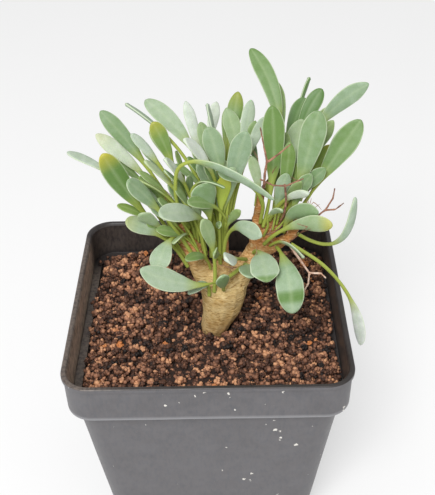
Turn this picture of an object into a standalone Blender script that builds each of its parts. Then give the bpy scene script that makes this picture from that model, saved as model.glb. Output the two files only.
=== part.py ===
"""A small fat-trunked pachypodium in a square plastic nursery pot.

The pot's floor rests on Z = 0 with its centre over the origin. +Y is the back, +X is to the right.
Sizes below are in millimetres and MM turns them into metres.
Pieces: the pot, the bed of grit, the plant body (trunk with its shoots), each leaf, and each dry flower stalk.
"""

import math

import bmesh
import bpy
from mathutils import Matrix, Vector

MM = 0.001
GAP = 0.3  # clearance between pieces that touch on the real object

# Pot: a 9 cm square nursery pot.
POT_HEIGHT = 80.0
LIP_HALF = 45.0  # half the outside width over the lip
LIP_CORNER = 9.0
LIP_HEIGHT = 1.5
LIP_INSIDE = 1.4  # from the outside of the lip to the mouth
MOUTH_SLOPE = 1.0  # the height over which the mouth narrows to the band's inside
BAND_HEIGHT = 14.0  # the wide band under the lip, down to the ledge
BAND_STEP = 0.6  # how far the band stands in from the lip
BAND_WALL = 1.3
BAND_DRAFT = 0.25  # how much narrower the band is at its lower edge
LEDGE_STEP = 2.6  # how far the body stands in from the band
BODY_TAPER = 0.129  # how much the half width shrinks for each millimetre down
BODY_WALL = 1.2
FLOOR_THICKNESS = 2.0
FOOT_EDGE = 1.0  # the chamfer round the underside
LIP_ROUND = 0.35
MOULD_EDGE = 0.4  # small chamfers inside the section
LEDGE_RISE = 0.6  # how far the ledge's inner edge slopes up to the band
CORNER_STEPS = 6
DRAIN_RADIUS = 4.5
DRAIN_OFFSET = 17.0
CUT_PAST = 1.0  # how far a cutting body reaches past what it cuts
DRAIN_SIDES = 20  # no corner of the ring falls on the floor's diagonals

# Grit in the pot.
SOIL_DROP = 12.0  # from the mouth of the pot down to the grit around the trunk
SOIL_EDGE_DROP = 14.6  # from the mouth of the pot down to the grit beside the wall
SOIL_RIPPLE = 0.5
SOIL_GAP = GAP + 0.1  # a little over the clearance, because facets cut across curves
SOIL_RINGS = (0.93, 0.84, 0.74, 0.62, 0.5, 0.38, 0.26, 0.13)  # shares of the way out from the middle

# Plant. Its places are measured from the pot's centre line, at the height of the grit.
PLANT_SPREAD = 1.0  # scales the plant sideways
PLANT_RISE = 1.0  # scales the plant upwards
ROOT_DEPTH = 12.0
LEAF_WIDTH = 1.0  # scales every blade's width
LEAF_THICKNESS = 1.1
PETIOLE_RADIUS = 0.62
TUBE_SIDES = 12
LEAF_SIDES = 6
PETIOLE_RINGS = (0.0, 0.5, 1.0)  # places of the rings along the petiole
BLADE_RINGS = (0.2, 0.42, 0.64, 0.82, 0.93, 0.985)  # and along the blade
BLADE_FULLNESS = 2.5  # a larger power gives a blunter end
BLADE_PEAK = 0.54  # the outline's largest value, which scales it to the blade's width
STALK_SIDES = 5

SOIL_Z = POT_HEIGHT - SOIL_DROP
BAND_HALF = LIP_HALF - BAND_STEP
BAND_BOTTOM = POT_HEIGHT - BAND_HEIGHT
BODY_HALF = BAND_HALF - LEDGE_STEP

# The leaf blades turn their faces towards the light, which comes from the front and above.
LIGHT = Vector((0.0, -0.75, 0.66)).normalized()

# Each shoot is a chain of places along it, as (right, back, up, radius).
# The first is the trunk, and the others start inside the piece that they grow from.
SHOOTS = {
    "trunk": [
        (1.1, -4.5, -ROOT_DEPTH, 2.4), (1.2, -4.5, -3.0, 3.8), (1.8, -4.4, 1.0, 4.5), (3.5, -4.0, 6.0, 5.6),
        (4.8, -3.4, 10.5, 6.8), (5.4, -2.8, 15.0, 7.5), (5.6, -2.3, 18.0, 7.2), (5.6, -2.0, 20.0, 5.6)],
    "left": [(3.0, -2.0, 15.5, 4.6), (-1.8, -0.5, 23.0, 3.8), (-4.6, 0.4, 30.5, 3.2), (-8.0, 1.5, 37.5, 2.4)],
    "left_rear": [(-4.0, 0.4, 29.0, 2.6), (-6.0, 4.5, 35.0, 1.9), (-8.0, 8.0, 41.0, 1.4)],
    "right": [
        (7.5, -2.0, 15.5, 4.6), (12.0, 0.5, 22.0, 3.7), (16.0, 1.8, 28.5, 3.2), (19.7, 3.0, 33.5, 2.6),
        (22.6, 4.0, 38.5, 2.0)],
    "side": [(16.5, 1.5, 28.0, 2.6), (21.0, 0.5, 30.5, 2.1), (26.5, 0.5, 34.5, 1.7), (30.0, 1.5, 40.5, 1.3)],
    "middle": [(16.2, 2.0, 28.5, 2.4), (16.2, 4.4, 34.0, 1.8), (17.0, 5.6, 42.0, 1.5), (18.0, 6.6, 49.0, 1.1)],
    "centre": [(5.0, -1.0, 17.0, 3.6), (4.8, 2.0, 25.0, 2.6), (5.0, 4.4, 34.0, 2.0), (5.8, 6.2, 42.0, 1.5)],
    "rear": [(19.0, 3.0, 31.5, 2.2), (24.0, 8.0, 36.0, 1.8), (28.5, 12.0, 40.0, 1.5), (31.0, 14.0, 45.0, 1.1)],
}

# Each leaf: the shoot and how far along it, the tip as (right, back, up), how far the middle bows up and
# sideways, the blade's width and length, how far the blade rolls away from the light in degrees, and its look.
LEAVES = [
    ("left", 0.90, (-43, 8, 63), 4, 0, 4.0, 17, 45, "pale"),
    ("left_rear", 0.72, (-34, 12, 67), 2, 0, 4.8, 22, 10, "pale"),
    ("left_rear", 0.99, (-33, 20, 71), 1, 0, 5.6, 24, 0, "fresh"),
    ("left", 0.78, (-30.5, -2, 68), -2.5, 0, 7.0, 25, 0, "fresh"),
    ("left", 0.72, (-23, -8, 62), 1, 0, 5.8, 17, 20, "glaucous"),
    ("left", 1.0, (-20, 5, 55.5), 0, 0, 3.8, 11, 10, "fresh"),
    ("left", 1.0, (-20, -3, 59), 3, 0, 3.6, 13, 75, "fresh"),
    ("centre", 0.80, (-25, 21, 73), 6, 0, 4.4, 20, 72, "glaucous"),
    ("centre", 0.94, (-19, 25, 72), 6, 0, 6.2, 24, 10, "pale"),
    ("left_rear", 0.76, (-23, 12, 67), 3, 0, 3.4, 15, 20, "pale"),
    ("left_rear", 1.0, (-16, 12, 71), 2, 0, 5.2, 16, 0, "fresh"),
    ("left", 0.62, (-18, -3, 66), 4, 0, 3.4, 15, 50, "pale"),
    ("left", 0.90, (-12, -2, 66), 4, 0, 3.6, 14, 50, "pale"),
    ("centre", 0.36, (-6, 24, 72), 3, 0, 4.2, 20, 20, "pale"),
    ("centre", 0.70, (4, 31, 68), 4, -3, 4.0, 16, 20, "pale"),
    ("centre", 0.98, (1, 20, 73), 3, 0, 3.8, 16, 72, "fresh"),
    ("centre", 0.99, (1, 10, 70), 2, 0, 6.4, 18, 0, "glaucous"),
    ("centre", 0.80, (-6, -1, 72), 4, 0, 4.6, 18, 35, "pale"),
    ("centre", 0.84, (11, 26, 74), 3, 0, 5.0, 20, 0, "fresh"),
    ("centre", 0.78, (8, 31, 66), 2, 0, 4.4, 16, 10, "glaucous"),
    ("centre", 0.96, (15, 20, 74), 3, 2, 4.4, 19, 20, "glaucous"),
    ("centre", 0.66, (13, 5, 71), 1, 0, 7.2, 24, 0, "glaucous"),
    ("centre", 0.92, (19, 14, 71), 1, 0, 3.4, 18, 10, "pale"),
    ("middle", 0.96, (15, 32, 86), 5, 6, 6.0, 30, 0, "fresh"),
    ("right", 0.88, (21, 12, 76), 2, 1, 7.2, 28, 0, "fresh"),
    ("rear", 0.54, (35, 38, 73), 1, -2, 3.4, 16, 75, "fresh"),
    ("rear", 0.70, (33, 31, 69), 2, -3, 5.6, 18, 10, "fresh"),
    ("rear", 0.86, (38, 27, 74), 2, -3, 5.6, 18, 0, "fresh"),
    ("rear", 0.99, (52, 22, 78), 4, -4, 6.0, 23, 20, "glaucous"),
    ("rear", 0.50, (31, 18, 68), 1, 0, 7.0, 19, 0, "pale"),
    ("side", 0.90, (35, 8, 76), 1, 0, 8.0, 27, 0, "glaucous"),
    ("side", 0.99, (49, 13, 70), 1, 0, 8.0, 26, 0, "glaucous"),
    ("rear", 0.80, (42, 22, 56), 1, 0, 5.0, 13, 10, "fresh"),
    ("side", 0.62, (35, -6, 48), 4, 0, 5.8, 16, 30, "glaucous"),
    ("right", 0.99, (32, -4, 54), 3, 0, 3.4, 12, 50, "pale"),
    ("right", 0.72, (39, -10, 46), 3, 0, 5.6, 18, 35, "glaucous"),
    ("side", 0.76, (48, 6, 46), -10, 3, 4.2, 16, 50, "glaucous"),
    ("side", 0.60, (52, -7, -6), 7, 0, 4.2, 22, 35, "glaucous"),
    ("side", 0.40, (26.5, -23, 22), 6, 0, 8.8, 19, 0, "glaucous"),
    ("right", 0.57, (18.5, -21, 33), 4, 0, 9.4, 13, -5, "glaucous"),
    ("right", 0.36, (-20, -20, 38), -3.5, -5, 7.2, 21, 10, "glaucous"),
    ("trunk", 0.90, (-6, -15, 24), 3, 0, 3.6, 9, 30, "glaucous"),
    ("left", 1.0, (-15.5, -15, 33.5), 3, 0, 6.8, 11, 15, "glaucous"),
    ("left", 0.52, (-25, -5, 45.5), 2, 0, 5.6, 13, 15, "glaucous"),
    ("centre", 0.62, (-13.5, -15, 54), 4, 0, 6.6, 20, 15, "glaucous"),
    ("centre", 0.42, (17, -14, 45), 6, 0, 5.4, 14, 30, "glaucous"),
    ("centre", 0.38, (-1, -4, 58), 0, 0, 8.2, 14, 5, "glaucous"),
    ("centre", 0.30, (6.4, 2, 57.5), 1, 0, 4.8, 14, 10, "yellowing"),
    ("left", 0.98, (21, -9, 55), 23, 5, 3.4, 18, 62, "glaucous"),
    ("middle", 0.50, (4, -2, 61), 5, -4, 4.0, 9, 20, "glaucous"),
    ("trunk", 0.96, (-1, -7, 47), 1, 0, 4.6, 15, 15, "glaucous"),
    ("right", 0.46, (6, -17, 39), 0, 0, 5.2, 10, 20, "glaucous"),
    ("trunk", 0.98, (5, -16, 32), -2, 0, 4.6, 9, 20, "glaucous"),
]

# Each dry flower stalk: the chains that it forks into, as (right, back, up, radius).
STALKS = [
    [[(18.2, 4.0, 47.0, 0.45), (18.6, 2.5, 57.0, 0.42), (19.2, 2.0, 62.5, 0.4)],
     [(19.2, 2.0, 62.0, 0.38), (18.2, 2.0, 67.0, 0.3), (17.0, 1.5, 74.0, 0.25)],
     [(19.1, 2.0, 61.5, 0.38), (23.0, 1.0, 65.5, 0.32), (26.0, 0.0, 69.0, 0.25)]],
    [[(24.8, 1.0, 40.0, 0.42), (25.2, -1.0, 50.0, 0.4), (24.6, -2.0, 56.0, 0.38)],
     [(24.7, -2.0, 55.6, 0.36), (21.0, -3.0, 56.5, 0.3), (17.0, -3.5, 59.0, 0.25)],
     [(24.6, -2.0, 55.4, 0.36), (27.5, -3.0, 57.5, 0.3), (30.0, -3.5, 59.0, 0.25)]],
    [[(31.0, 4.0, 36.4, 0.45), (35.0, 5.0, 38.5, 0.4), (39.0, 6.0, 41.5, 0.35)],
     [(38.6, 5.8, 41.2, 0.35), (42.0, 6.5, 41.0, 0.3), (44.5, 7.0, 43.0, 0.25)],
     [(38.6, 5.8, 41.2, 0.35), (41.0, 7.0, 45.0, 0.3), (41.5, 8.0, 48.0, 0.25)]],
    [[(27.3, -2.2, 32.0, 0.5), (30.5, -4.0, 28.0, 0.45), (33.5, -5.0, 23.5, 0.4)],
     [(33.2, -4.9, 24.0, 0.38), (37.0, -6.0, 24.5, 0.32), (38.5, -6.5, 23.0, 0.28)],
     [(33.2, -4.9, 24.0, 0.38), (33.0, -6.0, 20.5, 0.32), (31.5, -7.0, 18.0, 0.28)]],
]

# Each look: colour, roughness and metallic.
LOOKS = {
    "pot_plastic": ((0.055, 0.056, 0.060), 0.45, 0.0),
    "soil_grit": ((0.115, 0.045, 0.025), 0.95, 0.0),
    "bark": ((0.42, 0.29, 0.12), 0.8, 0.0),
    "leaf_glaucous": ((0.33, 0.46, 0.31), 0.55, 0.0),
    "leaf_pale": ((0.46, 0.56, 0.44), 0.6, 0.0),
    "leaf_fresh": ((0.22, 0.38, 0.12), 0.5, 0.0),
    "leaf_yellowing": ((0.48, 0.45, 0.14), 0.55, 0.0),
    "stalk_dry": ((0.28, 0.15, 0.11), 0.85, 0.0),
}


def clear_scene():
    """Removes whatever the scene holds."""
    for obj in list(bpy.data.objects):
        bpy.data.objects.remove(obj, do_unlink=True)


def look(name):
    """The material of this name, made the first time that it is asked for."""
    found = bpy.data.materials.get(name)
    if found:
        return found
    colour, roughness, metallic = LOOKS[name]
    made = bpy.data.materials.new(name)
    made.use_nodes = True
    shader = made.node_tree.nodes["Principled BSDF"]
    shader.inputs["Base Color"].default_value = (*colour, 1.0)
    shader.inputs["Roughness"].default_value = roughness
    shader.inputs["Metallic"].default_value = metallic
    made.diffuse_color = (*colour, 1.0)
    return made


def loft(name, rings, look_name, smooth):
    """A closed body through rings of points in millimetres. A ring of one point closes that end to a pole."""
    mesh = bmesh.new()
    rows = [[mesh.verts.new(Vector(point) * MM) for point in ring] for ring in rings]
    for low, high in zip(rows, rows[1:]):
        count = max(len(low), len(high))
        for index in range(count):
            after = (index + 1) % count
            if len(low) == 1:
                mesh.faces.new((low[0], high[after], high[index]))
            elif len(high) == 1:
                mesh.faces.new((low[index], low[after], high[0]))
            else:
                mesh.faces.new((low[index], low[after], high[after], high[index]))
    for end in (rows[0], rows[-1]):
        if len(end) > 1:
            mesh.faces.new(end)
    bmesh.ops.recalc_face_normals(mesh, faces=mesh.faces)
    data = bpy.data.meshes.new(name)
    mesh.to_mesh(data)
    mesh.free()
    data.polygons.foreach_set("use_smooth", [smooth] * len(data.polygons))
    obj = bpy.data.objects.new(name, data)
    bpy.context.scene.collection.objects.link(obj)
    data.materials.append(look(look_name))
    return obj


def combine(obj, others, operation):
    """Joins the other bodies to this one, or cuts them out of it, and removes them."""
    for other in others:
        step = obj.modifiers.new(other.name, "BOOLEAN")
        step.operation = operation
        step.solver = "EXACT"
        step.object = other
        bpy.context.view_layer.objects.active = obj
        bpy.ops.object.modifier_apply(modifier=step.name)
        bpy.data.objects.remove(other, do_unlink=True)
    return obj


def rounded_square(half, corner, height):
    """One ring of a square with rounded corners, seen from above, starting on the right of the front."""
    ring = []
    for quarter in range(4):
        turn = math.radians(90 * quarter - 90)
        centre = Matrix.Rotation(turn, 3, "Z") @ Vector((half - corner, half - corner, 0.0))
        for step in range(CORNER_STEPS + 1):
            angle = turn + math.radians(90) * step / CORNER_STEPS
            ring.append((centre.x + corner * math.cos(angle), centre.y + corner * math.sin(angle), height))
    return ring


def body_half(height):
    """Half the outside width of the pot's body at this height."""
    return BODY_HALF - BODY_TAPER * (BAND_BOTTOM - height)


def body_corner(height):
    """The corner radius of the body at this height, in step with its width."""
    return (LIP_CORNER - 1.0) * body_half(height) / BODY_HALF


def inner_half(height):
    """Half the width inside the pot at this height."""
    if height > BAND_BOTTOM:
        return BAND_HALF - BAND_WALL
    return body_half(height) - BODY_WALL


def inner_corner(height):
    """The corner radius inside the pot at this height."""
    if height > BAND_BOTTOM:
        return LIP_CORNER - BAND_WALL
    return body_corner(height) - BODY_WALL


def make_pot():
    """The moulded pot: outside from the floor up, over the lip, then down the inside to the floor."""
    foot = body_half(FOOT_EDGE)
    lip_low = POT_HEIGHT - LIP_HEIGHT
    outside = [
        (foot - FOOT_EDGE, body_corner(0.0) - FOOT_EDGE, 0.0),
        (foot, body_corner(FOOT_EDGE), FOOT_EDGE),
        (BODY_HALF, body_corner(BAND_BOTTOM), BAND_BOTTOM),
        (BAND_HALF - BAND_DRAFT, LIP_CORNER - BAND_STEP, BAND_BOTTOM),
        (BAND_HALF, LIP_CORNER - MOULD_EDGE, lip_low - MOULD_EDGE),
        (LIP_HALF, LIP_CORNER, lip_low),
        (LIP_HALF, LIP_CORNER, POT_HEIGHT - LIP_ROUND),
        (LIP_HALF - LIP_ROUND, LIP_CORNER - LIP_ROUND, POT_HEIGHT),
    ]
    mouth = LIP_HALF - LIP_INSIDE
    ledge = BAND_BOTTOM + LEDGE_RISE
    inside = [
        (mouth, LIP_CORNER - LIP_INSIDE, POT_HEIGHT),
        (inner_half(POT_HEIGHT), inner_corner(POT_HEIGHT), POT_HEIGHT - MOUTH_SLOPE),
        (inner_half(ledge), inner_corner(ledge), ledge),
        (inner_half(BAND_BOTTOM), inner_corner(BAND_BOTTOM), ledge - MOULD_EDGE),
        (inner_half(FLOOR_THICKNESS), inner_corner(FLOOR_THICKNESS), FLOOR_THICKNESS),
    ]
    rings = [[(0.0, 0.0, 0.0)]]
    rings += [rounded_square(*place) for place in outside + inside]
    rings.append([(0.0, 0.0, FLOOR_THICKNESS)])
    pot = loft("pot", rings, "pot_plastic", False)
    drains = []
    for right in (-DRAIN_OFFSET, DRAIN_OFFSET):
        for back in (-DRAIN_OFFSET, DRAIN_OFFSET):
            ends = [circle(Vector((right, back, height)), Vector((0, 0, 1)), DRAIN_RADIUS, DRAIN_SIDES)
                    for height in (-CUT_PAST, FLOOR_THICKNESS + CUT_PAST)]
            drains.append(loft("drain", ends, "pot_plastic", True))
    return combine(pot, drains, "DIFFERENCE")


def soil_top(right, back):
    """Height of the grit here: level in the middle, lower by the wall, with shallow ripples."""
    reach = max(abs(right), abs(back)) / inner_half(SOIL_Z)
    fall = (SOIL_EDGE_DROP - SOIL_DROP) * max(0.0, (reach - 0.72) / 0.28) ** 2
    ripple = SOIL_RIPPLE * math.sin(right * 0.45 + 1.0) * math.cos(back * 0.38 + 0.5)
    return SOIL_Z - fall + ripple * max(0.0, 1.0 - reach)


def make_soil(root):
    """The bed of grit, filling the pot up to the ledge, with a socket for the root."""
    floor = FLOOR_THICKNESS + GAP
    edge = POT_HEIGHT - SOIL_EDGE_DROP
    sides = []
    for height in (floor, edge):
        half = inner_half(height) - SOIL_GAP
        sides.append(rounded_square(half, inner_corner(height) - SOIL_GAP, height))
    rings = [[(0.0, 0.0, floor)]] + sides
    for share in SOIL_RINGS:
        ring = [(x * share, y * share) for x, y, height in sides[-1]]
        rings.append([(x, y, soil_top(x, y)) for x, y in ring])
    rings.append([(0.0, 0.0, soil_top(0.0, 0.0))])
    soil = loft("soil", rings, "soil_grit", True)
    return combine(soil, [root], "DIFFERENCE")


def circle(centre, axis, radius, sides):
    """One ring of points around an axis."""
    across, along = frame_across(axis)
    ring = []
    for index in range(sides):
        angle = math.tau * index / sides
        ring.append(centre + (across * math.cos(angle) + along * math.sin(angle)) * radius)
    return ring


def frame_across(axis):
    """Two unit vectors square to the axis and to each other."""
    side = Vector((0.0, 1.0, 0.0)).cross(axis)
    if side.length < 0.2 * axis.length:
        side = Vector((1.0, 0.0, 0.0)).cross(axis)
    side.normalize()
    return side, axis.normalized().cross(side)


def plant_place(place):
    """A place on the plant, in the pot's millimetres."""
    right, back, up = place
    return Vector((right * PLANT_SPREAD, back * PLANT_SPREAD, SOIL_Z + up * PLANT_RISE))


def tube(name, chain, sides, look_name, extra=0.0):
    """A round-ended limb through the chain's places, thicker all over by extra."""
    places = [plant_place(link[:3]) for link in chain]
    radii = [link[3] + extra for link in chain]
    last = len(places) - 1
    rings = []
    for index, place in enumerate(places):
        axis = (places[min(index + 1, last)] - places[max(index - 1, 0)]).normalized()
        rings.append(circle(place, axis, radii[index], sides))
    start = (places[0] - places[1]).normalized()
    end = (places[-1] - places[-2]).normalized()
    rings.insert(0, circle(places[0] + start * radii[0] * 0.5, start * -1.0, radii[0] * 0.8, sides))
    rings.insert(0, [places[0] + start * radii[0] * 0.75])
    rings.append(circle(places[-1] + end * radii[-1] * 0.5, end, radii[-1] * 0.8, sides))
    rings.append([places[-1] + end * radii[-1] * 0.75])
    return loft(name, rings, look_name, True)


def make_plant():
    """The trunk with all its shoots, which grew as one piece."""
    limbs = [tube(name, chain, TUBE_SIDES, "bark") for name, chain in SHOOTS.items()]
    plant = combine(limbs[0], limbs[1:], "UNION")
    plant.name = "plant_body"
    return plant


def along_shoot(name, share):
    """The place, direction and radius this far along a shoot, by length."""
    chain = SHOOTS[name]
    places = [plant_place(link[:3]) for link in chain]
    lengths = [(after - before).length for before, after in zip(places, places[1:])]
    wanted = share * sum(lengths)
    for index, length in enumerate(lengths):
        if wanted <= length or index == len(lengths) - 1:
            part = min(wanted / length, 1.0)
            place = places[index].lerp(places[index + 1], part)
            radius = chain[index][3] * (1.0 - part) + chain[index + 1][3] * part
            return place, (places[index + 1] - places[index]).normalized(), radius
        wanted -= length


def blade_half(share, width):
    """Half the blade's width at this share of it: a wedge that widens to a round end, like the bowl of a spoon."""
    if share <= 0.0:
        return PETIOLE_RADIUS
    outline = share * math.sqrt(1.0 - share ** BLADE_FULLNESS) / BLADE_PEAK
    return max(PETIOLE_RADIUS * (1.0 - share), outline * width / 2)


def make_leaf(name, row):
    """A fleshy leaf: rings across a curved midrib, from a petiole just off its shoot to the tip."""
    shoot, height, tip_place, bow, sway, width, blade, roll, kind = row
    width *= LEAF_WIDTH
    tip = plant_place(tip_place)
    root, axis, radius = along_shoot(shoot, height)
    chord = tip - root
    across = chord.cross(Vector((0.0, 0.0, 1.0))).normalized()
    upwards = across.cross(chord).normalized()
    control = root.lerp(tip, 0.5) + (upwards * bow + across * sway) * 2.0
    leave = (control - root).normalized()
    outward = (leave - axis * leave.dot(axis)).normalized()
    lean = math.sqrt(max(0.0, 1.0 - leave.dot(outward) ** 2))
    base = root + outward * (radius + GAP + PETIOLE_RADIUS * lean)
    petiole = max(0.1, 1.0 - blade / (tip - base).length)
    parts = [(part * petiole, 0.0) for part in PETIOLE_RINGS]
    parts += [(petiole + share * (1.0 - petiole), share) for share in BLADE_RINGS]
    rings = []
    for part, share in parts:
        place = base.lerp(control, part).lerp(control.lerp(tip, part), part)
        forward = (control - base).lerp(tip - control, part).normalized()
        face = LIGHT - forward * LIGHT.dot(forward)
        face = Matrix.Rotation(math.radians(roll), 3, forward) @ face.normalized()
        side = forward.cross(face)
        half = blade_half(share, width)
        thick = max(0.35, min(half, LEAF_THICKNESS / 2))
        ring = []
        for corner in range(LEAF_SIDES):
            angle = math.tau * corner / LEAF_SIDES
            ring.append(place + side * half * math.cos(angle) + face * thick * math.sin(angle))
        rings.append(ring)
    rings.append([tip])
    return loft(name, rings, "leaf_" + kind, True)


def make_stalk(name, chains):
    """A dry flower stalk with its forks."""
    limbs = [tube(f"{name}_limb", chain, STALK_SIDES, "stalk_dry") for chain in chains]
    stalk = combine(limbs[0], limbs[1:], "UNION")
    stalk.name = name
    return stalk


clear_scene()
make_pot()
root_chain = SHOOTS["trunk"][:4]
make_soil(tube("root_socket", root_chain, TUBE_SIDES, "soil_grit", SOIL_GAP))
make_plant()
for number, row in enumerate(LEAVES, start=1):
    make_leaf(f"leaf_{number:02d}", row)
for number, chains in enumerate(STALKS, start=1):
    make_stalk(f"stalk_{number}", chains)
for made in bpy.context.scene.objects:
    made.data.name = made.name
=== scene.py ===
# %% [markdown]
# # A small succulent in a square nursery pot
# The CAD frame gives every piece its place and size: the pot, the bed of clay granules, the trunk with
# its shoots, each leaf and each dry flower stalk. This notebook gives them their fine shapes and finishes.
# Nothing is moved. Each new piece stands exactly where its CAD piece is, and is measured from it.

import math

import bmesh
import bpy
import numpy as np
from mathutils import Matrix, Vector
from mathutils.bvhtree import BVHTree


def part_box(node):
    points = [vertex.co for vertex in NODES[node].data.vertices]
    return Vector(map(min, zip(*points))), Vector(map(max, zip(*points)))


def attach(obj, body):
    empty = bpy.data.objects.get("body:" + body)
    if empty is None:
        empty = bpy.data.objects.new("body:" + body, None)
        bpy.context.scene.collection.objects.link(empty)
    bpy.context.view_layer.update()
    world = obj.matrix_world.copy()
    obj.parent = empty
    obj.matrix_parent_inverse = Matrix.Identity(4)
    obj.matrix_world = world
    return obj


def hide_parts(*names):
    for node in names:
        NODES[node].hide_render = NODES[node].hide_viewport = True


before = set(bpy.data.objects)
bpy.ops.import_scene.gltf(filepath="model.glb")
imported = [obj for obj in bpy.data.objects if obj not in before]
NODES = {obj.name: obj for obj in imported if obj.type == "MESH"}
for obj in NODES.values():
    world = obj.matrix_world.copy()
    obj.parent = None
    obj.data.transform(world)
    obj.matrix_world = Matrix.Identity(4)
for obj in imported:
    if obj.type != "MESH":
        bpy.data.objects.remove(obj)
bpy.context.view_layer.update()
MM = 0.001
print("pieces in the frame:", len(NODES))

# %% [markdown]
# ## Numbers that stand in for chance
# Granules, leaf to leaf differences and the bark's wrinkles all need irregularity. A hashed lattice gives
# it: each corner of a grid of cubes gets a fixed value from its own coordinates, and a point in between
# blends its eight corners. The same place always gets the same value, so every render is the same.


# %% Smooth noise over space
def corner_value(corner, seed):
    """A fixed value between 0 and 1 for each corner: the fraction of a large sine of its coordinates."""
    mixed = corner @ np.array([127.1, 311.7, 74.7]) + seed * 19.19
    return np.modf(np.abs(np.sin(mixed) * 43758.5453))[0]


def noise(places, grain, seed=0):
    """Values between -1 and 1 that change smoothly over `grain` metres: the eight corner values of the
    cube around each place, blended by the smoothstep of how far across the cube the place is."""
    scaled = np.asarray(places) / grain
    low = np.floor(scaled)
    part = scaled - low
    part = part * part * (3 - 2 * part)
    total = np.zeros(len(scaled))
    for corner in np.ndindex(2, 2, 2):
        weight = np.prod(np.where(corner, part, 1 - part), axis=1)
        total += weight * corner_value(low + corner, seed)
    return total * 2 - 1


# %% [markdown]
# ## Reading the frame
# A CAD piece arrives as loose triangles, so its corners are merged in a copy of its arrays before anything
# is measured from it. New surfaces go into Blender as whole arrays of corners and faces.


# %% Meshes in and out
def merged(node):
    """The node's corners, with equal places made one, and its triangles as rows of three corner numbers."""
    mesh = NODES[node].data
    flat = np.empty(len(mesh.vertices) * 3)
    mesh.vertices.foreach_get("co", flat)
    corners = np.empty(len(mesh.loops), dtype=np.int64)
    mesh.loops.foreach_get("vertex_index", corners)
    places, index = np.unique(flat.reshape(-1, 3).round(7), axis=0, return_inverse=True)
    return places, index.reshape(-1)[corners].reshape(-1, 3)


def turned_out(places, faces):
    """The faces, each read backwards if together they enclose a negative volume: a sixth of the sum of
    a . (b x c) over the triangles (a, b, c) of each face's fan."""
    fans = [(face[0], face[step], face[step + 1]) for face in faces for step in range(1, len(face) - 1)]
    first, second, third = places[np.array(fans)].transpose(1, 0, 2)
    volume = (first * np.cross(second, third)).sum() / 6
    return faces if volume > 0 else [face[::-1] for face in faces]


def add_piece(name, places, faces, material, replaces=(), values=None):
    """Makes a mesh piece from corners and faces, gives each corner its named values, and tells the frame what
    the piece is."""
    mesh = bpy.data.meshes.new(name)
    mesh.from_pydata(places.tolist(), [], turned_out(places, faces))
    mesh.polygons.foreach_set("use_smooth", np.ones(len(mesh.polygons), dtype=bool))
    for key, column in (values or {}).items():
        mesh.attributes.new(key, "FLOAT", "POINT").data.foreach_set("value", column.astype(np.float32))
    mesh.materials.append(material)
    mesh.update()
    piece = bpy.data.objects.new(name, mesh)
    bpy.context.scene.collection.objects.link(piece)
    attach(piece, "root")
    if replaces:
        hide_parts(*replaces)
    return piece


def capped_faces(rows, columns):
    """Squares between neighbouring rows of a grid whose last column meets its first, and a fan of triangles
    at each end, to two poles that come after the grid's own corners."""
    row, column = np.meshgrid(np.arange(rows - 1), np.arange(columns), indexing="ij")
    after = (column + 1) % columns
    low, high = row * columns, (row + 1) * columns
    squares = np.stack([low + column, low + after, high + after, high + column], axis=-1).reshape(-1, 4)
    ends = np.arange(columns)
    on = (ends + 1) % columns
    last = (rows - 1) * columns
    first_fan = np.stack([on, ends, np.full(columns, rows * columns)], axis=1)
    last_fan = np.stack([last + ends, last + on, np.full(columns, rows * columns + 1)], axis=1)
    return squares.tolist() + first_fan.tolist() + last_fan.tolist()


# %% [markdown]
# ## Finishes
# One function adds any shader node with its settings and its links, and gives back the output that the next
# node reads. Most finishes are a stack: a first colour, with others laid over it where some value is high.
# Colours are written as a screen shows them, and turned into the linear light that the renderer adds up.


# %% Shader helpers
def colour(code):
    """The linear RGBA of an sRGB hex colour."""
    parts = np.array([int(code[place:place + 2], 16) for place in (1, 3, 5)]) / 255
    linear = np.where(parts <= 0.04045, parts / 12.92, ((parts + 0.055) / 1.055) ** 2.4)
    return (*linear, 1.0)


def add_node(tree, kind, inputs=None, output=0, **settings):
    """Adds a node with its properties set, and gives back one of its outputs. Each input gets a value, the
    linear colour of a hex code, or a link from another node's output."""
    node = tree.nodes.new("ShaderNode" + kind)
    for key, value in settings.items():
        setattr(node, key, value)
    for key, value in (inputs or {}).items():
        if isinstance(value, bpy.types.NodeSocket):
            tree.links.new(value, node.inputs[key])
        else:
            node.inputs[key].default_value = colour(value) if isinstance(value, str) else value
    return node.outputs[output] if node.outputs else None


def new_finish(name, attributes=()):
    """A material, its empty node tree, the place being shaded, and the named attributes' values there."""
    material = bpy.data.materials.new(name)
    material.use_nodes = True
    tree = material.node_tree
    tree.nodes.clear()
    where = add_node(tree, "TexCoord", output="Object")
    values = [add_node(tree, "Attribute", output="Fac", attribute_name=key) for key in attributes]
    return material, tree, where, values


def layered(tree, tone, layers):
    """The tone under a stack of layers. Each row gives a value, the two amounts of it between which the layer
    comes in, how much the layer covers at each, and the layer's colour."""
    for value, first, last, covers_first, covers_last, over in layers:
        share = add_node(tree, "MapRange", {0: value, 1: first, 2: last, 3: covers_first, 4: covers_last})
        tone = add_node(tree, "Mix", {0: share, 6: tone, 7: over}, 2, data_type="RGBA")
    return tone


def set_stops(tone, stops):
    """Gives the colour ramp behind an output its (place, hex colour) stops."""
    elements = tone.node.color_ramp.elements
    while len(elements) < len(stops):
        elements.new(0.5)
    for element, (place, code) in zip(elements, stops):
        element.position = place
        element.color = colour(code)
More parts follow.
